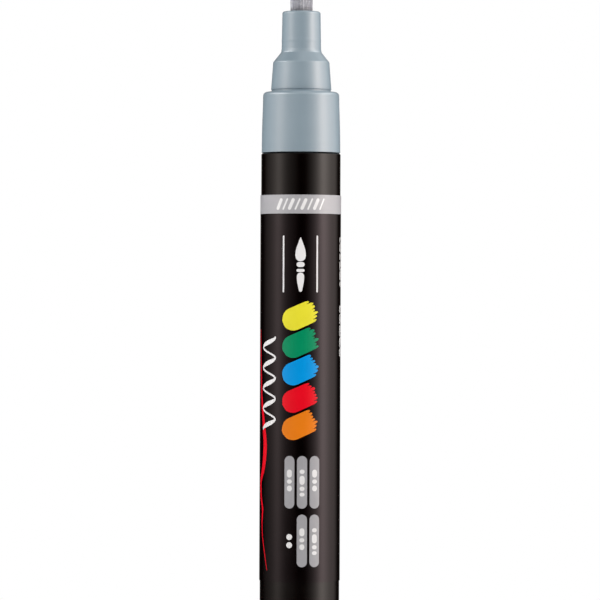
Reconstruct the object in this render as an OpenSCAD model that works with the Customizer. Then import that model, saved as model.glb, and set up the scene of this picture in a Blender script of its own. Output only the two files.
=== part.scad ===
// Brush-tipped paint marker for lettering, with the cap pushed on to its tail.
// Millimetres. +Z runs from the cap's closed end, which it stands on, to the brush.
// The origin is on the axis, at the middle of the cap's closed end.

/* [Barrel] */
// Outer diameter over the printed label
label_d = 15.0; // [14.8:0.1:15.4]
// Thickness of the label film
label_t = 0.1; // [0.06:0.01:0.12]
// Length of the barrel tube
barrel_len = 92; // [88:1:110]
// Radius of the barrel's bore
bore_r = 6.35; // [6.3:0.05:6.4]
// Bare barrel below the label
tail_bare = 12.5; // [8:0.5:16]
// Bare barrel above the label
front_bare = 7.97; // [6:0.01:12]

/* [Nozzle] */
// Height of the nozzle above the barrel
nozzle_len = 26.3; // [25.9:0.1:26.5]
// Radius of the hole that the brush comes out of
mouth_r = 2.35; // [2.35:0.01:2.45]
// Length of the skirt that plugs into the barrel
skirt_len = 9; // [8.5:0.5:9.5]

/* [Brush] */
// Length of brush that stands out of the nozzle
brush_out = 11.7; // [8:0.1:13]
// Radius of the bundle of bristles
brush_r = 2.03; // [1.95:0.01:2.03]
// How far the brush presses in to open the valve
press_travel = 1.5; // [0.5:0.1:1.5]

/* [Cap] */
// Length of the cap
cap_len = 31; // [31:0.5:40]
// Outer radius at the cap's mouth
cap_mouth_r = 7.0; // [6.9:0.05:7.1]
// Outer radius at the cap's closed end
cap_end_r = 6.65; // [6.55:0.05:6.8]
// Width of the pocket clip
clip_w = 4.2; // [3.4:0.2:5]

/* [Mixing ball] */
// Radius of the steel ball that stirs the paint
ball_r = 3.0; // [2:0.25:4]

/* [Hidden] */
$fn = 96;

ink_colour = [0.55, 0.62, 0.67];
black = [0.05, 0.05, 0.05];
silver = [0.75, 0.75, 0.77];
natural = [0.92, 0.92, 0.88];

over = 0.5;          // a cutting shape runs this far past what it cuts
fit = 0.02;          // radial gap of a pushed fit
face_gap = 0.05;     // between faces of two pieces that part from each other

// Heights along the axis
flange_t = 1.45;
barrel_z = cap_len + face_gap + flange_t;
nozzle_z = barrel_z + barrel_len;
label_z = barrel_z + tail_bare;
label_len = barrel_len - tail_bare - front_bare;

// Barrel radii: it is moulded with a slight draft, slimmer at the front than at the tail
barrel_r = label_d / 2 - label_t;
front_r = barrel_r - 0.02;
foot_round = 0.3;
lip_chamfer = 0.34;

// Taper that the cap grips, the same on the nozzle and on the tail stub
seat_low_r = 5.62;
seat_high_r = 5.25;
seat_len = 5.1;
seat_play = 0.07;

// Nozzle heights above the barrel
shoulder_h = 11.3;
seat_h = 11.75;
cone_h = 16.95;
neck_h = 18.6;
ring_h = 20.85;
wet_r = 5.3;         // chamber above the valve
sleeve_r = 3.9;      // chamber around the absorber
sleeve_h = 9.5;
stop_h = 17.0;       // step that the holder's collar rests under

// Brush unit heights above the barrel
ferrule_h = 19.5;
root_h = 21;
ferrule_top_h = 25.3;
core_r = 1.1;
core_low_h = 0.35;
core_high_h = 23;
guide_low_h = 4;
guide_high_h = 6;
collar_h = 15.8;
holder_low_h = guide_low_h + press_travel;
absorber_high_h = collar_h - press_travel - 0.3;

// Valve heights below the barrel's front, and radii
housing_top = -1;
housing_end = -20;
seat_top = -2.2;
seat_bottom = -3.8;
chamber_r = 3.2;
head_drop = 1.6;
spring_low = -18.2;
wire_r = 0.18;
coil_r = 1.7;
coil_turns = 8;

// Tail
stub_len = 7;
plug_floor = 1.5;
plug_skirt = 6;

// Cap
cap_wall_end = 1.6;
liner_r = 5.05;      // bore that holds the inner cap
liner_mouth = 7.6;   // depth of the inner cap's mouth from the cap's mouth

// Points of an arc, from angle a to angle b
function arc(cx, cy, r, a, b, steps = 7) =
    [for (i = [0:steps]) let (t = a + (b - a) * i / steps) [cx + r * cos(t), cy + r * sin(t)]];

// Radius of the barrel's outside at height z
function barrel_r_at(z) = barrel_r - (barrel_r - front_r)
    * (z - barrel_z - foot_round) / (barrel_len - foot_round - lip_chamfer);

// A tube between two heights
module tube(outer, inner, low, high) {
    difference() {
        translate([0, 0, low]) cylinder(r = outer, h = high - low);
        translate([0, 0, low - over]) cylinder(r = inner, h = high - low + 2 * over);
    }
}

// A ring of n copies around the axis
module around(n) {
    for (i = [0:n - 1]) rotate([0, 0, i * 360 / n]) children();
}

module barrel() {
    color(black) rotate_extrude() polygon(concat(
        [[bore_r, barrel_z]],
        arc(barrel_r - foot_round, barrel_z + foot_round, foot_round, -90, 0, 5),
        [[front_r, nozzle_z - lip_chamfer], [front_r - lip_chamfer, nozzle_z], [bore_r, nozzle_z]]
    ));
}

module label_sleeve() {
    top = label_z + label_len;
    color(black) rotate_extrude() polygon([
        [barrel_r_at(label_z), label_z], [label_d / 2, label_z],
        [label_d / 2, top], [barrel_r_at(top), top]
    ]);
}

// Outside of the nozzle, from the barrel up to the rim
function nozzle_outline() = concat(
    [[7.32, 0], [7.31, 1.6], [7.285, 3.4], [7.24, 5.2], [7.18, 7], [7.12, 8.8], [7.095, 10.3]],
    arc(6.345, shoulder_h - 0.75, 0.75, 5, 90),
    [[5.5, shoulder_h], [5.5, seat_h - 0.12], [seat_low_r, seat_h]],
    [[seat_high_r, cone_h - 0.25]],
    arc(seat_high_r - 0.35, cone_h - 0.25, 0.35, 5, 42, 4),
    [[3.84, neck_h], [3.74, neck_h + 0.25], [3.675, neck_h + 0.75]],
    [[3.645, ring_h - 0.4], [3.663, ring_h - 0.2], [3.66, ring_h + 0.2], [3.64, ring_h + 0.4]],
    arc(3.14, nozzle_len - 0.42, 0.42, 0, 90)
);

module nozzle() {
    color(ink_colour) translate([0, 0, nozzle_z]) difference() {
        union() {
            rotate_extrude() polygon(concat([[0, 0]], nozzle_outline(), [[0, nozzle_len]]));
            translate([0, 0, -skirt_len]) cylinder(r = bore_r - fit, h = skirt_len);
        }
        translate([0, 0, sleeve_h]) cylinder(r = sleeve_r, h = stop_h - sleeve_h);
        translate([0, 0, -skirt_len - over]) cylinder(r = wet_r, h = skirt_len + over + sleeve_h);
        translate([0, 0, sleeve_h]) cylinder(r = mouth_r, h = nozzle_len);
        translate([0, 0, nozzle_len - 0.15])
            cylinder(r1 = mouth_r, r2 = mouth_r + 0.3, h = 0.3);
        // two grooves that leave sealing ribs between them on the skirt
        for (h = [-3.2, -6.4]) translate([0, 0, h])
            tube(bore_r + over, bore_r - 0.3, 0, 1.2);
    }
}

// Bundle of bristles: straight out of the mouth, a slight belly, then a long point
function brush_outline() = [
    [brush_r, 0.5], [brush_r, 4.9], [brush_r + 0.02, 6.5], [brush_r, 8.2], [brush_r - 0.13, 9.8],
    [brush_r - 0.4, 11.4], [brush_r - 0.8, 13], [brush_r - 1.25, 14.5], [brush_r - 1.65, 15.8]
];

module brush_tip() {
    top = nozzle_len + brush_out - root_h;
    color(silver) translate([0, 0, nozzle_z + root_h]) difference() {
        rotate_extrude() polygon(concat(
            [[0, 0], [brush_r - 0.1, 0]],
            [for (p = brush_outline()) [p[0], p[1] * top / 16.8]],
            [[0.12, top - 0.15], [0, top]]
        ));
        translate([0, 0, -over]) cylinder(r = core_r + fit, h = core_high_h - root_h + 0.2 + over);
    }
}

module brush_ferrule() {
    color(silver) translate([0, 0, nozzle_z])
        tube(2.28, brush_r + fit, ferrule_h, ferrule_top_h);
}

// Carries the ferrule, and stops under the nozzle's inner step
module tip_holder() {
    color(natural) translate([0, 0, nozzle_z]) difference() {
        rotate_extrude() polygon([
            [core_r + fit, holder_low_h], [1.95, holder_low_h], [1.95, collar_h], [3.7, collar_h],
            [3.7, stop_h - 0.03], [2.28, stop_h - 0.03], [2.28, ferrule_h],
            [brush_r, ferrule_h], [brush_r, root_h], [core_r + fit, root_h]
        ]);
        // notches in the collar that let paint past
        around(4) translate([3.1, -0.5, collar_h - over]) cube([1, 1, 3]);
    }
}

module feed_core() {
    color(silver) translate([0, 0, nozzle_z + core_low_h])
        cylinder(r = core_r, h = core_high_h - core_low_h);
}

// Pushed into the nozzle: keeps the holder's lower end on the axis
module holder_guide() {
    color(natural) translate([0, 0, nozzle_z]) difference() {
        tube(wet_r - fit, 2.02, guide_low_h, guide_high_h);
        around(6) translate([3.65, 0, guide_low_h - over]) cylinder(r = 0.8, h = 3);
    }
}

// Felt sleeve that takes up spare paint
module overflow_absorber() {
    color(natural) translate([0, 0, nozzle_z]) tube(sleeve_r - fit, 2.1, guide_high_h + fit, absorber_high_h);
}

module valve_housing() {
    color(natural) translate([0, 0, nozzle_z]) difference() {
        union() {
            translate([0, 0, -skirt_len])
                cylinder(r = wet_r - fit, h = housing_top + skirt_len);
            translate([0, 0, housing_end]) cylinder(r = 4.3, h = -skirt_len - housing_end);
        }
        translate([0, 0, housing_end - over])
            cylinder(r = chamber_r, h = seat_top - housing_end + over);
        translate([0, 0, seat_top - over]) cylinder(r = 1.7, h = 3);
        // four windows that let paint into the chamber
        around(4) translate([0, -1.1, -16]) cube([6, 2.2, 5.5]);
    }
}

module valve_seat() {
    color(black) translate([0, 0, nozzle_z]) tube(chamber_r - fit, 1.35, seat_bottom, seat_top);
}

module valve_stem() {
    color(natural) translate([0, 0, nozzle_z]) rotate_extrude() polygon([
        [0, core_low_h - 0.03], [1.2, core_low_h - 0.03], [1.2, seat_bottom - 0.02],
        [1.9, seat_bottom - 0.02], [2.3, seat_bottom - 0.8], [2.3, seat_bottom - head_drop],
        [0.8, seat_bottom - head_drop], [0.8, -12.6], [0.5, -13], [0, -13]
    ]);
}

// Compression spring between the stem's head and the retainer
module valve_spring() {
    low = spring_low + wire_r;
    high = seat_bottom - head_drop - wire_r;
    sides = 8;
    per_turn = 20;
    rings = coil_turns * per_turn;
    function centre(i) = [
        coil_r * cos(i * 360 / per_turn),
        coil_r * sin(i * 360 / per_turn),
        low + (high - low) * i / rings
    ];
    points = [for (i = [0:rings], s = [0:sides - 1])
        let (turn = i * 360 / per_turn, a = s * 360 / sides, c = centre(i))
        c + wire_r * [cos(a) * cos(turn), cos(a) * sin(turn), sin(a)]];
    walls = [for (i = [0:rings - 1], s = [0:sides - 1])
        let (n = (s + 1) % sides)
        [i * sides + s, i * sides + n, (i + 1) * sides + n, (i + 1) * sides + s]];
    ends = [
        [for (s = [sides - 1:-1:0]) s],
        [for (s = [0:sides - 1]) rings * sides + s]
    ];
    color(silver) translate([0, 0, nozzle_z]) polyhedron(points, concat(walls, ends), convexity = 10);
}

// Snapped into the end of the valve housing, with a peg inside the spring
module spring_retainer() {
    color(natural) translate([0, 0, nozzle_z]) difference() {
        union() {
            translate([0, 0, housing_end]) cylinder(r = chamber_r - fit, h = spring_low - housing_end);
            translate([0, 0, spring_low]) cylinder(r1 = 1.4, r2 = 1.1, h = 1.4);
        }
        around(3) translate([2.3, 0, housing_end - over]) cylinder(r = 0.5, h = 4);
    }
}

module mixing_ball() {
    color(silver) translate([0, 0, barrel_z + plug_floor + ball_r + face_gap]) sphere(r = ball_r);
}

// Closes the barrel, and carries the stub that the cap is pushed on to
module tail_plug() {
    color(ink_colour) translate([0, 0, barrel_z]) difference() {
        union() {
            rotate_extrude() polygon(concat(
                [[0, -flange_t - stub_len], [4.6, -flange_t - stub_len]],
                arc(4.6, 0.5 - flange_t - stub_len, 0.5, -90, 0, 5),
                [[seat_high_r, -flange_t - seat_len], [seat_low_r, -flange_t]],
                [[6.85, -flange_t], [7.1, 0.25 - flange_t], [7.1, 0], [0, 0]]
            ));
            cylinder(r = bore_r - fit, h = plug_floor + plug_skirt);
        }
        translate([0, 0, plug_floor]) cylinder(r = 5.2, h = plug_skirt + over);
        translate([0, 0, -flange_t - stub_len - over]) cylinder(r = 3.9, h = stub_len + over);
        // two grooves that leave sealing ribs between them
        for (h = [1.6, 4.2]) translate([0, 0, h]) tube(bore_r + over, bore_r - 0.3, 0, 1.2);
    }
}

// Side view of the clip: a root on the cap, a springing arm and an inward nose
function clip_side() = concat(
    [[5.9, 1.2], [7.4, 1.2]],
    arc(7.8, 2.8, 1.6, -90, 0, 6),
    [[9.25, 18]],
    arc(8.65, 24.2, 0.6, 0, 90, 5),
    [[7.9, 24.8]],
    arc(7.85, 24.2, 0.6, 90, 180, 5),
    [[7.25, 23.4], [8.0, 21.6], [8.1, 7.6]],
    arc(7.4, 7.6, 0.7, 0, -90, 4),
    [[5.9, 6.9]]
);

// Front view of the clip: a strip that narrows a little, with a round end
function clip_front() = concat(
    [[-clip_w / 2, 0.6], [clip_w / 2, 0.6], [clip_w / 2 - 0.35, 23.0]],
    arc(0, 23.0, clip_w / 2 - 0.35, 0, 180, 12)
);

module clip() {
    intersection() {
        rotate([90, 0, 0]) translate([0, 0, -clip_w]) linear_extrude(2 * clip_w)
            polygon(clip_side());
        rotate([90, 0, 90]) linear_extrude(20) polygon(clip_front());
    }
}

module cap_shell() {
    seat_step = seat_high_r + seat_play;
    color(ink_colour) difference() {
        union() {
            rotate_extrude() polygon(concat(
                [[0, 0], [cap_end_r - 0.9, 0]],
                arc(cap_end_r - 0.9, 0.9, 0.9, -90, 0),
                [[cap_mouth_r - 0.03, cap_len - 1.2]],
                arc(cap_mouth_r - 0.3, cap_len - 0.3, 0.3, 0, 90, 4),
                [[0, cap_len]]
            ));
            clip();
        }
        translate([0, 0, cap_wall_end]) cylinder(r = liner_r, h = cap_len);
        translate([0, 0, cap_len - seat_len])
            cylinder(r1 = seat_step, r2 = seat_low_r + seat_play, h = seat_len + 0.001);
        translate([0, 0, cap_len - liner_mouth + 0.2])
            cylinder(r = seat_step, h = liner_mouth - seat_len - 0.1);
        translate([0, 0, cap_len - 0.25])
            cylinder(r1 = seat_low_r + seat_play, r2 = seat_low_r + seat_play + 0.3, h = 0.3);
    }
}

// Soft cup inside the cap that seals round the nozzle's neck
module inner_cap() {
    top = cap_len - liner_mouth;
    color(natural) rotate_extrude() polygon([
        [0, cap_wall_end], [liner_r - fit, cap_wall_end], [liner_r - fit, 3], [4.6, 3.4],
        [4.6, top - 1.4], [liner_r - fit, top - 1], [liner_r - fit, top], [4.0, top],
        [3.8, top - 0.3], [3.74, 4], [3.3, cap_wall_end + 0.8], [0, cap_wall_end + 0.8]
    ]);
}

barrel();
label_sleeve();
nozzle();
brush_tip();
brush_ferrule();
tip_holder();
feed_core();
holder_guide();
overflow_absorber();
valve_housing();
valve_seat();
valve_stem();
valve_spring();
spring_retainer();
mixing_ball();
tail_plug();
cap_shell();
inner_cap();
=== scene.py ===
"""Looks of a brush-tipped paint marker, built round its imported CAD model. Metres, +Z along the marker."""
import math
import random

import bmesh
import bpy
from mathutils import Matrix, Vector


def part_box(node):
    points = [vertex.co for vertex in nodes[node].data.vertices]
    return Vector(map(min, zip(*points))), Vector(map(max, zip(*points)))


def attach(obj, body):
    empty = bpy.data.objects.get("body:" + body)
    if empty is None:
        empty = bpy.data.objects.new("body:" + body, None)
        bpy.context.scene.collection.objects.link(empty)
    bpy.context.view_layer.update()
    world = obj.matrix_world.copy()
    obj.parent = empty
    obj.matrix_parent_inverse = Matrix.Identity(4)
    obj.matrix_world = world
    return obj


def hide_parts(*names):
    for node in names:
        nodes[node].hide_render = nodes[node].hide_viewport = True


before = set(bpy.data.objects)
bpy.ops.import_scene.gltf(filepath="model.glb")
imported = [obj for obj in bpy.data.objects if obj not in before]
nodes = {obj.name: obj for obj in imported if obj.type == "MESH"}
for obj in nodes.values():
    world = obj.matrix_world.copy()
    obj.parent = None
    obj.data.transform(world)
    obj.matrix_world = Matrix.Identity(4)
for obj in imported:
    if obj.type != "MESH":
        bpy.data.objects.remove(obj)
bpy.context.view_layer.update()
scene = bpy.context.scene
MM = 0.001

# Places that the CAD gives
film_low, film_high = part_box("label_sleeve")
seam_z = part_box("barrel")[1].z          # where the nozzle meets the barrel
rim_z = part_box("nozzle")[1].z           # the nozzle's mouth
point_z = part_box("brush_tip")[1].z
film_r = film_high.x / MM               # outside of the printed film, in mm


# ---------------------------------------------------------------- camera, light and floor

EYE_BELOW_SEAM = 27.4 * MM
EYE_LEFT = 0.08 * MM
CAMERA_AWAY = 0.70
LEAN = math.radians(0.21)               # the picture leans this much to the right


def make_camera():
    """A long lens, level with the middle of the visible stretch."""
    data = bpy.data.cameras.new("camera")
    data.sensor_width = 36
    data.lens = 225.5
    data.clip_start = 0.01
    data.clip_end = 20
    camera = bpy.data.objects.new("camera", data)
    camera.rotation_mode = "QUATERNION"
    upright = Matrix.Rotation(math.radians(90), 4, "X") @ Matrix.Rotation(LEAN, 4, "Z")
    camera.rotation_quaternion = upright.to_quaternion()
    camera.location = (-EYE_LEFT, -CAMERA_AWAY, seam_z - EYE_BELOW_SEAM)
    scene.collection.objects.link(camera)
    scene.camera = camera


# The studio as the marker sees it. Each list is brightness by degrees round the marker from the camera,
# right positive. LEVEL is what shows as reflections, SIDES is soft light from above and below that.
LEVEL = [
    (-180, 0.25), (-165, 0.05), (-150, 0), (-138, 0), (-127, 0.02), (-115, 0.13), (-97, 0.34),
    (-81, 0.68), (-67, 1.30), (-54, 0.67), (-41, 0.30), (-28, 0.17), (-14, 0.07), (-5, 0), (7, 0),
    (16, 0.02), (28, 0.21), (41, 0.57), (54, 1.42), (67, 2.95), (81, 1.98), (97, 1.00), (115, 0.65),
    (126, 0.25), (135, 0), (150, 0), (165, 0.05), (180, 0.25)
]
SIDES = [
    (-180, 0.1), (-135, 0.15), (-115, 1.05), (-75, 7.2), (-45, 2.9), (-20, 0.7), (0, 0.4), (20, 0.7),
    (50, 1.95), (80, 5.35), (105, 3.5), (125, 0.8), (150, 0.4), (180, 0.2)
]
BRIGHTEST = 7.2                         # a ramp holds brightness as a share of this
POLE_LEFT, POLE_RIGHT = 0.05, 0.5       # overhead, and the same below
POLE_LEFT_FROM, POLE_RIGHT_FROM = -0.3, 0.0     # how far to the side each of the two starts
OFF_LEVEL = (0.28, 0.42)                # LEVEL gives way to SIDES over these heights on the sphere
TO_POLE = (0.5, 0.75)                   # and SIDES to what is overhead, over these
FADE_LEFT, FADE_RIGHT = 6.0, 2.4        # how fast the lights fade towards the tail
WARM = (1.13, 1.0, 0.93)


class Tree:
    """Adds and joins the nodes of one material or world."""

    def __init__(self, tree):
        self.tree = tree
        tree.nodes.clear()

    def node(self, kind, inputs=None, **settings):
        made = self.tree.nodes.new(kind)
        for name, value in settings.items():
            setattr(made, name, value)
        for name, value in (inputs or {}).items():
            socket = made.inputs[name]
            if isinstance(value, bpy.types.NodeSocket):
                self.tree.links.new(value, socket)
            else:
                socket.default_value = value
        return made

    def math(self, operation, a, b=0.0):
        return self.node("ShaderNodeMath", {0: a, 1: b}, operation=operation).outputs[0]

    def blend(self, factor, low, high):
        """A vector or colour that goes from low to high."""
        made = self.node("ShaderNodeMix", {0: factor, 4: low, 5: high}, data_type="VECTOR")
        return made.outputs[1]

    def ramp(self, factor, stops, interpolation="LINEAR"):
        """stops are (place, level) or (place, (r, g, b))."""
        made = self.node("ShaderNodeValToRGB", {"Fac": factor})
        made.color_ramp.interpolation = interpolation
        elements = made.color_ramp.elements
        while len(elements) < len(stops):
            elements.new(0.5)
        for element, (place, level) in zip(elements, stops):
            colour = (level,) * 3 if isinstance(level, (int, float)) else level
            element.position = place
            element.color = (*colour, 1)
        return made.outputs["Color"]


def make_world():
    """A white surround to the camera, and to the marker a dark studio with a soft light on each side."""
    world = bpy.data.worlds.new("studio")
    world.use_nodes = True
    scene.world = world
    t = Tree(world.node_tree)
    direction = t.node("ShaderNodeTexCoord").outputs["Generated"]
    axes = t.node("ShaderNodeSeparateXYZ", {0: direction}).outputs
    towards = t.math("MULTIPLY", axes["Y"], -1)
    round_turn = t.math("DIVIDE", t.math("ARCTAN2", axes["X"], towards), 2 * math.pi)
    place = t.math("ADD", round_turn, 0.5)

    def by_turn(levels):
        """Brightness by place round the marker, as a share of the brightest."""
        stops = [(0.5 + turn / 360, level / BRIGHTEST) for turn, level in levels]
        return t.ramp(place, stops, "B_SPLINE")

    # the lights fade a little towards the marker's tail, the left one more
    height = t.node("ShaderNodeClamp", {"Value": axes["Z"], "Min": -0.1, "Max": 0.035}).outputs[0]
    rate = t.node("ShaderNodeMapRange",
                  {"Value": axes["X"], "From Min": -1, "From Max": 1,
                   "To Min": FADE_LEFT, "To Max": FADE_RIGHT})
    fade = t.math("ADD", t.math("MULTIPLY", height, rate.outputs[0]), 1.0)
    tinted = t.node("ShaderNodeVectorMath", {0: by_turn(LEVEL), 1: WARM}, operation="MULTIPLY").outputs[0]
    level = t.node("ShaderNodeVectorMath", {0: tinted, 3: fade}, operation="SCALE").outputs[0]
    steep = t.math("ABSOLUTE", axes["Z"])

    def over(low, high):
        """0 to 1 as the direction gets steeper."""
        return t.node("ShaderNodeMapRange", {"Value": steep, "From Min": low, "From Max": high}).outputs[0]

    off_level = over(*OFF_LEVEL)
    to_pole = over(*TO_POLE)
    light = t.blend(off_level, level, by_turn(SIDES))
    pole = t.node("ShaderNodeMapRange",
                  {"Value": axes["X"], "From Min": POLE_LEFT_FROM, "From Max": POLE_RIGHT_FROM,
                   "To Min": POLE_LEFT / BRIGHTEST, "To Max": POLE_RIGHT / BRIGHTEST}).outputs[0]
    light = t.blend(to_pole, light, pole)
    studio = t.node("ShaderNodeBackground", {"Color": light, "Strength": BRIGHTEST})
    white = t.node("ShaderNodeBackground", {"Color": (1, 1, 1, 1), "Strength": 1.0})
    seen = t.node("ShaderNodeLightPath").outputs["Is Camera Ray"]
    mixed = t.node("ShaderNodeMixShader", {0: seen, 1: studio.outputs[0], 2: white.outputs[0]})
    t.node("ShaderNodeOutputWorld", {"Surface": mixed.outputs[0]})


def make_floor():
    """A pale round floor that fades into the white surround."""
    radius, fade_from = 0.32, 0.10
    mesh = bpy.data.meshes.new("floor")
    bm = bmesh.new()
    bmesh.ops.create_circle(bm, cap_ends=True, segments=96, radius=radius)
    bm.to_mesh(mesh)
    bm.free()
    floor = bpy.data.objects.new("floor", mesh)
    scene.collection.objects.link(floor)
    made = bpy.data.materials.new("floor")
    made.use_nodes = True
    t = Tree(made.node_tree)
    coords = t.node("ShaderNodeTexCoord").outputs["Object"]
    away = t.node("ShaderNodeVectorMath", {0: coords}, operation="LENGTH").outputs["Value"]
    fade = t.node("ShaderNodeMapRange",
                  {"Value": away, "From Min": fade_from, "From Max": radius}, interpolation_type="SMOOTHSTEP")
    pale = t.node("ShaderNodeBsdfDiffuse", {"Color": (0.86, 0.86, 0.86, 1)})
    clear = t.node("ShaderNodeBsdfTransparent")
    mixed = t.node("ShaderNodeMixShader",
                   {0: fade.outputs[0], 1: pale.outputs[0], 2: clear.outputs[0]})
    t.node("ShaderNodeOutputMaterial", {"Surface": mixed.outputs[0]})
    mesh.materials.append(made)


# ---------------------------------------------------------------- materials

def plastic(name, colour, roughness, mottle=0.04, grain=6.0, bump=0.02, ior=1.5, specular=0.5,
            tint=(1, 1, 1), wear=0.03):
    """Moulded plastic: slightly uneven colour and gloss, and a fine moulded surface.
    grain is the number of bumps per mm, and bump their height in hundredths of a mm."""
    made = bpy.data.materials.new(name)
    made.use_nodes = True
    t = Tree(made.node_tree)
    coords = t.node("ShaderNodeTexCoord").outputs["Object"]
    in_mm = t.node("ShaderNodeVectorMath", {0: coords, 3: 1 / MM}, operation="SCALE").outputs[0]
    broad = t.node("ShaderNodeTexNoise", {"Vector": in_mm, "Scale": 0.35, "Detail": 3.0}).outputs["Fac"]
    low = tuple(c * (1 - mottle) for c in colour)
    high = tuple(min(1.0, c * (1 + mottle)) for c in colour)
    mottled = t.ramp(broad, [(0.3, low), (0.7, high)])
    fine = t.node("ShaderNodeTexNoise", {"Vector": in_mm, "Scale": grain, "Detail": 4.0}).outputs["Fac"]
    uneven = t.node("ShaderNodeMapRange",
                    {"Value": broad, "From Min": 0.3, "From Max": 0.7,
                     "To Min": roughness - wear, "To Max": roughness + wear})
    skin = t.node("ShaderNodeBump", {"Height": fine, "Strength": 1.0, "Distance": bump * 0.01 * MM})
    shader = t.node("ShaderNodeBsdfPrincipled", {
        "Base Color": mottled, "Roughness": uneven.outputs[0], "IOR": ior,
        "Specular IOR Level": specular, "Specular Tint": (*tint, 1), "Normal": skin.outputs[0]})
    t.node("ShaderNodeOutputMaterial", {"Surface": shader.outputs[0]})
    return made


def ink(name, colour, roughness=0.25, shine=0.4):
    """Printing ink on the film: dense, with the slight unevenness of a printed layer."""
    return plastic(name, colour, roughness, mottle=0.02, grain=9.0, bump=0.004, specular=shine, wear=0.02)


def metal(name, colour, roughness, streaks=(1, 1, 12)):
    """Bright drawn metal with fine streaks."""
    made = bpy.data.materials.new(name)
    made.use_nodes = True
    t = Tree(made.node_tree)
    coords = t.node("ShaderNodeTexCoord").outputs["Object"]
    scale = tuple(s / MM for s in streaks)
    stretched = t.node("ShaderNodeVectorMath", {0: coords, 1: scale}, operation="MULTIPLY").outputs[0]
    lines = t.node("ShaderNodeTexNoise", {"Vector": stretched, "Scale": 1.2, "Detail": 5.0}).outputs["Fac"]
    dark = tuple(c * 0.85 for c in colour)
    tint = t.ramp(lines, [(0.3, dark), (0.7, colour)])
    uneven = t.node("ShaderNodeMapRange",
                    {"Value": lines, "To Min": roughness * 0.7, "To Max": roughness * 1.4})
    skin = t.node("ShaderNodeBump", {"Height": lines, "Strength": 1.0, "Distance": 0.001 * MM})
    shader = t.node("ShaderNodeBsdfPrincipled", {
        "Base Color": tint, "Metallic": 1.0, "Roughness": uneven.outputs[0], "Normal": skin.outputs[0]})
    t.node("ShaderNodeOutputMaterial", {"Surface": shader.outputs[0]})
    return made


def fibre(name, colour, weave=14.0, bump=0.03):
    """Felt or bonded fibre: rough, with fine strands."""
    made = bpy.data.materials.new(name)
    made.use_nodes = True
    t = Tree(made.node_tree)
    coords = t.node("ShaderNodeTexCoord").outputs["Object"]
    in_mm = t.node("ShaderNodeVectorMath", {0: coords, 3: 1 / MM}, operation="SCALE").outputs[0]
    strands = t.node("ShaderNodeTexNoise",
                     {"Vector": in_mm, "Scale": weave, "Detail": 6.0, "Distortion": 1.5}).outputs["Fac"]
    dark = tuple(c * 0.7 for c in colour)
    tint = t.ramp(strands, [(0.35, dark), (0.65, colour)])
    skin = t.node("ShaderNodeBump", {"Height": strands, "Strength": 1.0, "Distance": bump * MM})
    shader = t.node("ShaderNodeBsdfPrincipled", {
        "Base Color": tint, "Roughness": 0.95, "Sheen Weight": 0.3, "Normal": skin.outputs[0]})
    t.node("ShaderNodeOutputMaterial", {"Surface": shader.outputs[0]})
    return made


NOZZLE_GREY = (0.303, 0.391, 0.453)
GREY_PLASTIC = plastic("grey_plastic", NOZZLE_GREY, 0.25, mottle=0.012, grain=7, bump=0.04,
                       ior=1.62, specular=1.0, wear=0.015)
BLACK_PLASTIC = plastic("black_plastic", (0.0015, 0.0004, 0.0002), 0.14, mottle=0.1, grain=8, bump=0.02)
BLACK_FILM = plastic("black_film", (0.0015, 0.0003, 0.0003), 0.14, mottle=0.1, grain=5, bump=0.015,
                     tint=(0.97, 0.86, 0.93))
NATURAL_PLASTIC = plastic("natural_plastic", (0.78, 0.79, 0.75), 0.4, mottle=0.02)
RUBBER = plastic("rubber", (0.02, 0.02, 0.02), 0.7, mottle=0.15, grain=12, bump=0.1, specular=0.3)
STEEL = metal("steel", (0.62, 0.62, 0.63), 0.22)
BALL_STEEL = metal("ball_steel", (0.66, 0.66, 0.67), 0.12, streaks=(2, 2, 2))
FELT = fibre("felt", (0.78, 0.77, 0.72))
FEED = fibre("feed_fibre", (0.7, 0.71, 0.74), weave=20, bump=0.01)
NODE_MATERIALS = {
    "barrel": BLACK_PLASTIC, "label_sleeve": BLACK_FILM, "nozzle": GREY_PLASTIC,
    "brush_tip": FEED, "brush_ferrule": STEEL, "tip_holder": NATURAL_PLASTIC, "feed_core": FEED,
    "holder_guide": NATURAL_PLASTIC, "overflow_absorber": FELT, "valve_housing": NATURAL_PLASTIC,
    "valve_seat": RUBBER, "valve_stem": NATURAL_PLASTIC, "valve_spring": STEEL,
    "spring_retainer": NATURAL_PLASTIC, "mixing_ball": BALL_STEEL, "tail_plug": GREY_PLASTIC,
    "cap_shell": GREY_PLASTIC, "inner_cap": NATURAL_PLASTIC
}


def dress_nodes():
    for name, made in NODE_MATERIALS.items():
        for held in nodes[name].material_slots:
            held.material = made


# ---------------------------------------------------------------- bristles

def bristle_rings(path, radii, sides):
    """Corners of a thin closed tube along a path, ring by ring."""
    rings = []
    for i, point in enumerate(path):
        ahead = path[min(i + 1, len(path) - 1)]
        behind = path[max(i - 1, 0)]
        along = (ahead - behind).normalized()
        side = along.orthogonal().normalized()
        other = along.cross(side)
        rings.append([
            point + radii[i] * (math.cos(a) * side + math.sin(a) * other)
            for a in (2 * math.pi * k / sides for k in range(sides))
        ])
    return rings


def bundle_radius(share):
    """Radius of the bundle, in mm, at a share of the way from the mouth to the point."""
    gripped = 0.03 * max(0.0, 1 - share / 0.03)     # drawn in where the ferrule holds it
    belly = 0.05 * math.sin(math.pi * min(1.0, share / 0.5))
    taper = max(0.0, (share - 0.28) / 0.72)         # the long point
    return (2.07 - gripped + belly) * (1 - taper ** 1.55) ** 0.9


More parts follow.
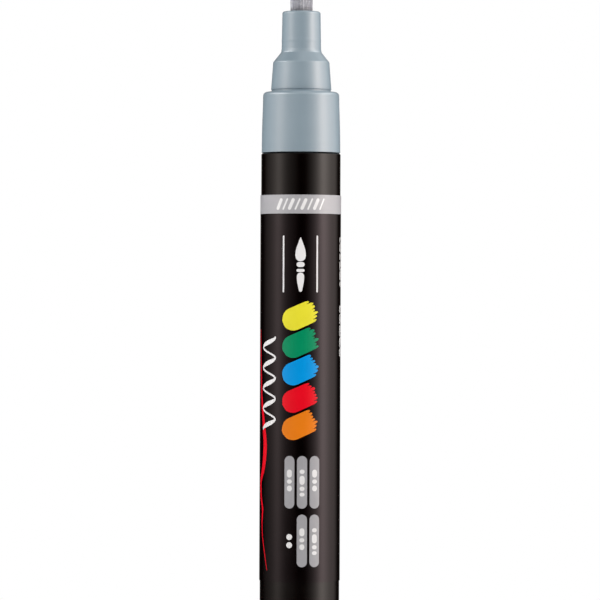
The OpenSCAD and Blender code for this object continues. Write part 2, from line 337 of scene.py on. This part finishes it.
def make_bristles():
    """Separate tapered bristles in rings. Each is shorter the further out it starts, so they make a point."""
    random.seed(7)
    deep_root = rim_z / MM - 4.2
    core_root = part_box("feed_core")[1].z / MM + 0.1
    mouth = rim_z / MM - 0.2
    point = point_z / MM
    bm = bmesh.new()
    sides, steps = 5, 22
    thick = 0.075                       # radius of a bristle, in mm
    # share of the bundle's radius, and how many bristles stand there
    layers = [(1.0, 84), (0.93, 76), (0.85, 66), (0.76, 54), (0.66, 44), (0.54, 34), (0.4, 24),
              (0.24, 12), (0.08, 4)]
    for spread, count in layers:
        # the outer ones stand round the feed core, and the inner ones start above it
        root = deep_root if spread > 0.6 else core_root
        for k in range(count):
            around = 2 * math.pi * (k + random.uniform(-0.35, 0.35)) / count
            out = spread * random.uniform(0.97, 1.0)
            end = 1.0 - (0.34 * out ** 2) * random.uniform(0.1, 1.0) - random.uniform(0, 0.015)
            drift = random.uniform(-0.10, 0.10)
            path, radii = [], []
            for i in range(steps + 1):
                share = i / steps
                height = root + share * (mouth + (point - mouth) * end - root)
                above = max(0.0, (height - mouth) / (point - mouth))
                r = out * max(0.0, bundle_radius(above) - thick)
                angle = around + drift * above
                path.append(Vector((r * math.cos(angle), r * math.sin(angle), height)) * MM)
                radii.append(thick * MM * (1 - 0.82 * share ** 3))
            rings = [[bm.verts.new(p) for p in ring] for ring in bristle_rings(path, radii, sides)]
            for lower, upper in zip(rings, rings[1:]):
                for s in range(sides):
                    n = (s + 1) % sides
                    bm.faces.new((lower[s], lower[n], upper[n], upper[s]))
            bm.faces.new(list(reversed(rings[0])))
            bm.faces.new(rings[-1])
    mesh = bpy.data.meshes.new("bristles")
    bm.normal_update()
    bm.to_mesh(mesh)
    bm.free()
    for polygon in mesh.polygons:
        polygon.use_smooth = True
    bristles = bpy.data.objects.new("bristles", mesh)
    scene.collection.objects.link(bristles)
    mesh.materials.append(bristle_material())
    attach(bristles, "brush")
    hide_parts("brush_tip")


def bristle_material():
    """Grey nylon: each strand a little lighter or darker, with painted shade near the mouth where the nozzle
    shadows the bristles' base.
    """
    made = bpy.data.materials.new("bristle_nylon")
    made.use_nodes = True
    t = Tree(made.node_tree)
    own = t.node("ShaderNodeNewGeometry").outputs["Random Per Island"]
    tint = t.ramp(own, [(0.0, (0.31, 0.315, 0.36)), (0.6, (0.42, 0.425, 0.47)), (1.0, (0.60, 0.605, 0.64))])
    coords = t.node("ShaderNodeTexCoord").outputs["Object"]
    height = t.node("ShaderNodeSeparateXYZ", {0: coords}).outputs["Z"]
    # painted shade: the colour darkens to 0.55 at the nozzle's mouth, in place of the nozzle's shadow on the
    # bristles
    painted_mouth_shade = t.node("ShaderNodeMapRange",
                  {"Value": height, "From Min": rim_z, "From Max": rim_z + 0.7 * MM,
                   "To Min": 0.55, "To Max": 1.0}, interpolation_type="SMOOTHSTEP")
    shaded = t.node("ShaderNodeVectorMath", {0: tint, 3: painted_mouth_shade.outputs[0]}, operation="SCALE").outputs[0]
    shader = t.node("ShaderNodeBsdfPrincipled", {
        "Base Color": shaded, "Roughness": 0.35, "Specular IOR Level": 1.0, "Subsurface Weight": 0.6,
        "Subsurface Scale": 0.25 * MM, "Subsurface Radius": (1, 1, 1)}, subsurface_method="BURLEY")
    t.node("ShaderNodeOutputMaterial", {"Surface": shader.outputs[0]})
    return made


# ---------------------------------------------------------------- printing on the film
# Places on the film are (s, h) in mm: s round it from the line that faces the camera, right positive,
# and h up from the seam between nozzle and barrel, so the whole label has negative heights.

INK_T = 0.016                           # thickness of a layer of ink
INK_GAP = 0.004                         # between the film and the first layer
STRIP = 0.35                            # the print is cut into strips this wide, to bend round
WELD = 0.002                            # points nearer than this are one


def capsule(s, h, width, height, tilt=0.0, steps=8):
    """A bar with round ends, turned by tilt degrees."""
    r = min(width, height) / 2
    half_w, half_h = width / 2 - r, height / 2 - r
    points = []
    for cx, cy, start in ((half_w, half_h, 0), (-half_w, half_h, 90), (-half_w, -half_h, 180),
                          (half_w, -half_h, 270)):
        for i in range(steps + 1):
            a = math.radians(start + 90 * i / steps)
            points.append((cx + r * math.cos(a), cy + r * math.sin(a)))
    turn = math.radians(tilt)
    return [(s + x * math.cos(turn) - y * math.sin(turn), h + x * math.sin(turn) + y * math.cos(turn))
            for x, y in points]


def smooth(points, per_gap=8):
    """More points on the same line, by Catmull-Rom. Each point is a tuple of numbers."""
    padded = [points[0]] + list(points) + [points[-1]]
    made = []
    for i in range(1, len(padded) - 2):
        a, b, c, d = padded[i - 1:i + 3]
        for k in range(per_gap):
            t = k / per_gap
            made.append(tuple(
                0.5 * (2 * q + (r - p) * t + (2 * p - 5 * q + 4 * r - s) * t ** 2
                       + (3 * q - p - 3 * r + s) * t ** 3)
                for p, q, r, s in zip(a, b, c, d)))
    made.append(tuple(points[-1]))
    return made


def stroke(points):
    """A pen stroke with round ends, along points of (s, h, width)."""
    left, right = [], []
    for i, (s, h, width) in enumerate(points):
        ahead = points[min(i + 1, len(points) - 1)]
        behind = points[max(i - 1, 0)]
        ds, dh = ahead[0] - behind[0], ahead[1] - behind[1]
        size = math.hypot(ds, dh)
        ns, nh = -dh / size * width / 2, ds / size * width / 2
        left.append((s + ns, h + nh))
        right.append((s - ns, h - nh))

    def end(point, before, steps=6):
        heading = math.atan2(point[1] - before[1], point[0] - before[0])
        r = point[2] / 2
        return [(point[0] + r * math.cos(heading + math.pi / 2 - math.pi * i / steps),
                 point[1] + r * math.sin(heading + math.pi / 2 - math.pi * i / steps))
                for i in range(1, steps)]

    return left + end(points[-1], points[-2]) + right[::-1] + end(points[0], points[1])


def printed(name, outlines, made, layer=0):
    """Outlines in (s, h) become one thin closed layer of ink, bent round the film."""
    curve = bpy.data.curves.new(name, "CURVE")
    curve.dimensions = "2D"
    curve.fill_mode = "BOTH"
    curve.extrude = 0.5                 # one layer thick, while it is flat
    for outline in outlines:
        spline = curve.splines.new("POLY")
        spline.points.add(len(outline) - 1)
        for point, (s, h) in zip(spline.points, outline):
            point.co = (s, h, 0, 1)
        spline.use_cyclic_u = True
    flat = bpy.data.objects.new(name + "_flat", curve)
    scene.collection.objects.link(flat)
    mesh = bpy.data.meshes.new_from_object(flat.evaluated_get(bpy.context.evaluated_depsgraph_get()))
    bpy.data.objects.remove(flat)
    mesh.name = name
    bm = bmesh.new()
    bm.from_mesh(mesh)
    bmesh.ops.remove_doubles(bm, verts=bm.verts, dist=WELD)
    low = min(v.co.x for v in bm.verts)
    high = max(v.co.x for v in bm.verts)
    for k in range(math.floor(low / STRIP) + 1, math.ceil(high / STRIP)):
        bmesh.ops.bisect_plane(bm, geom=bm.verts[:] + bm.edges[:] + bm.faces[:], dist=WELD,
                               plane_co=(k * STRIP, 0, 0), plane_no=(1, 0, 0))
    bmesh.ops.remove_doubles(bm, verts=bm.verts, dist=WELD)
    bmesh.ops.recalc_face_normals(bm, faces=bm.faces)
    for v in bm.verts:
        r = film_r + INK_GAP + INK_T * (layer + 0.5 + v.co.z)
        angle = v.co.x / film_r
        v.co = Vector((r * math.sin(angle) * MM, -r * math.cos(angle) * MM, seam_z + v.co.y * MM))
    bm.to_mesh(mesh)
    bm.free()
    mesh.materials.clear()
    mesh.materials.append(made)
    piece = bpy.data.objects.new(name, mesh)
    scene.collection.objects.link(piece)
    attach(piece, "barrel")
    return piece


WHITE_INK = ink("white_ink", (0.97, 0.97, 0.975))
SILVER_INK = ink("silver_ink", (0.48, 0.48, 0.505), roughness=0.3, shine=0.9)
GREY_INK = ink("grey_ink", (0.44, 0.44, 0.465), roughness=0.3, shine=0.8)
RED_INK = ink("red_ink", (0.97, 0.003, 0.018))
YELLOW_INK = ink("yellow_ink", (0.97, 0.90, 0.045))
BLUE_INK = ink("blue_ink", (0.0, 0.37, 0.92))
GREEN_INK = ink("green_ink", (0.0, 0.315, 0.135))
ORANGE_INK = ink("orange_ink", (0.97, 0.25, 0.01))

BAND_TOP, BAND_LOW = -7.97, -11.45
HALF_ROUND = math.pi * film_r


def make_band():
    """The silver band round the film's top edge, and a row of pen strokes on it."""
    half = HALF_ROUND - 0.01
    printed("label_band", [[(-half, BAND_LOW), (half, BAND_LOW), (half, BAND_TOP), (-half, BAND_TOP)]],
            SILVER_INK)
    middle = (BAND_TOP + BAND_LOW) / 2
    first, pitch, length = -4.1, 1.17, 2.3
    broad, narrow = 0.62, 0.32
    strokes = []
    for k in range(8):
        width = broad if k % 2 == 0 else narrow
        strokes.append(capsule(first + pitch * k, middle, width, length, tilt=-24))
    printed("label_band_strokes", strokes, WHITE_INK, layer=1)


def make_brush_sign():
    """Two fine white lines, with a plain sign of a brush between them."""
    low, high = -26.0, -15.5
    lines = [capsule(s, (low + high) / 2, 0.3, high - low, steps=3) for s in (-3.24, 3.16)]
    printed("label_lines", lines, WHITE_INK)
    tip = stroke(smooth([(0.0, -15.9, 0.12), (0.0, -16.9, 0.9), (0.0, -18.2, 1.75), (0.0, -19.3, 1.95)]))
    ferrule = capsule(0.0, -20.85, 1.5, 0.95, steps=3)
    collar = capsule(0.0, -21.95, 1.5, 0.55, steps=3)
    handle = stroke(smooth([(0.0, -23.0, 1.35), (0.0, -24.0, 1.25), (0.0, -25.6, 0.6)]))
    printed("label_brush_sign", [tip, ferrule, collar, handle], WHITE_INK)


def dab(s, h, length, thick, tilt, seed):
    """A short stroke of a flat brush: round where it starts, and in uneven tongues where it lifts off."""
    rng = random.Random(seed)
    r = thick / 2
    body = [(-length / 2 + r - r * math.sin(math.radians(a)) * rng.uniform(0.97, 1.03),
             r * math.cos(math.radians(a))) for a in range(0, 181, 12)]
    tips = []
    tongues = 7
    step = thick / tongues
    for k in range(tongues):
        y = -r + step * (k + 0.5)
        reach = length / 2 - 0.7 * abs(y / r) ** 3 - rng.uniform(0, 0.7)
        notch = reach - rng.uniform(0.25, 0.6)
        tips += [(notch, y - 0.46 * step), (reach, y - 0.2 * step), (reach - 0.03, y + 0.2 * step),
                 (notch, y + 0.46 * step)]
    turn = math.radians(tilt)
    return [(s + x * math.cos(turn) - y * math.sin(turn), h + x * math.sin(turn) + y * math.cos(turn))
            for x, y in body + smooth(tips, per_gap=3)]


def make_paint_dabs():
    """Five dabs of paint in a column."""
    inks = [("yellow", YELLOW_INK), ("green", GREEN_INK), ("blue", BLUE_INK), ("red", RED_INK),
            ("orange", ORANGE_INK)]
    top, pitch = -30.35, 5.05
    for k, (name, made) in enumerate(inks):
        outline = dab(0.0, top - pitch * k, length=7.1, thick=4.2, tilt=24, seed=k)
        printed("label_dab_" + name, [outline], made)


def make_flourish():
    """A white pen pattern up the left side: wide on the pen's way down, narrow on its way up."""
    turns, top, low = 4.5, -34.3, -51.3
    middle, swing = -6.7, 1.75
    thin, extra = 0.34, 0.5
    count = 120
    points = []
    for i in range(count + 1):
        share = i / count
        phase = 2 * math.pi * turns * share
        width = thin + extra * max(0.0, math.sin(phase)) ** 1.5
        points.append((middle + swing * math.cos(phase), top + (low - top) * share, width))
    printed("label_flourish", [stroke(points)], WHITE_INK, layer=1)


def make_red_stroke():
    """A long red brush stroke that wanders round the left side."""
    points = smooth([
        (-10.1, -33.0, 0.25), (-9.75, -39.0, 0.45), (-9.3, -45.0, 0.65), (-8.35, -50.0, 0.95),
        (-7.75, -54.5, 1.2), (-8.35, -58.4, 1.15), (-9.6, -61.2, 0.8), (-9.4, -64.0, 0.7),
        (-8.7, -66.2, 0.6), (-8.9, -68.6, 0.4), (-8.7, -71.0, 0.3), (-7.9, -74.0, 0.22),
        (-7.0, -77.4, 0.12)
    ])
    printed("label_red_stroke", [stroke(points)], RED_INK)


PILL_W, PILL_L, PILL_PITCH = 1.88, 9.7, 2.36
PILL_MIDDLE = 0.42
BAR_W, BAR_GAP, BAR_TOP = 0.95, 0.32, 2.35      # the bars on a pill; BAR_TOP is above its middle


def dashes(s, top, lengths, width, gap):
    """Short bars in a line down the film, in place of words."""
    made, h = [], top
    for length in lengths:
        made.append(capsule(s, h - length / 2, width, length, steps=3))
        h -= length + gap
    return made


def make_pills():
    """Grey pills with plain white bars on them, and two white dots."""
    rows = [(-61.0, (-1, 0, 1)), (-71.8, (0, 1))]
    pills, bars = [], []
    for row, (h, columns) in enumerate(rows):
        for column in columns:
            s = PILL_MIDDLE + column * PILL_PITCH
            pills.append(capsule(s, h, PILL_W, PILL_L, steps=10))
            lengths = (1.5, 0.8, 1.1) if (row + column) % 2 else (0.8, 1.7, 0.8, 0.7)
            bars += dashes(s, h + BAR_TOP, lengths, BAR_W, BAR_GAP)
    printed("label_pills", pills, GREY_INK)
    printed("label_pill_bars", bars, WHITE_INK, layer=1)
    dots = [capsule(PILL_MIDDLE - PILL_PITCH, h, 1.1, 1.1, steps=8) for h in (-71.1, -72.6)]
    printed("label_dots", dots, WHITE_INK)


def make_small_print():
    """Blocks of fine white bars round the back, where a label has its small print."""
    rng = random.Random(3)
    lines = []
    pitch, thick, gap, shortest = 0.62, 0.24, 0.3, 0.8
    # where each block starts round the film, its top and its length
    blocks = [(9.95, -15.7, 9.3), (9.95, -28.4, 9.5), (-15.2, -30.0, 22.0), (15.6, -20.0, 30.0)]
    for first, top, length in blocks:
        for k in range(5):
            h = top
            while h > top - length + shortest:
                bar = min(rng.uniform(0.6, 2.2), h - (top - length))
                lines.append(capsule(first + pitch * k, h - bar / 2, thick, bar, steps=2))
                h -= bar + gap
    printed("label_small_print", lines, WHITE_INK)


def make_overlap():
    """The film's outer end laps over its start, at the back."""
    low = (film_low.z - seam_z) / MM + 0.02
    left, right = HALF_ROUND - 1.4, HALF_ROUND + 1.0
    printed("label_overlap", [[(left, low), (right, low), (right, BAND_LOW), (left, BAND_LOW)]],
            BLACK_FILM)


scene.view_settings.view_transform = "Standard"
make_camera()
make_world()
make_floor()
dress_nodes()
make_bristles()
make_band()
make_brush_sign()
make_paint_dabs()
make_flourish()
make_red_stroke()
make_pills()
make_small_print()
make_overlap()
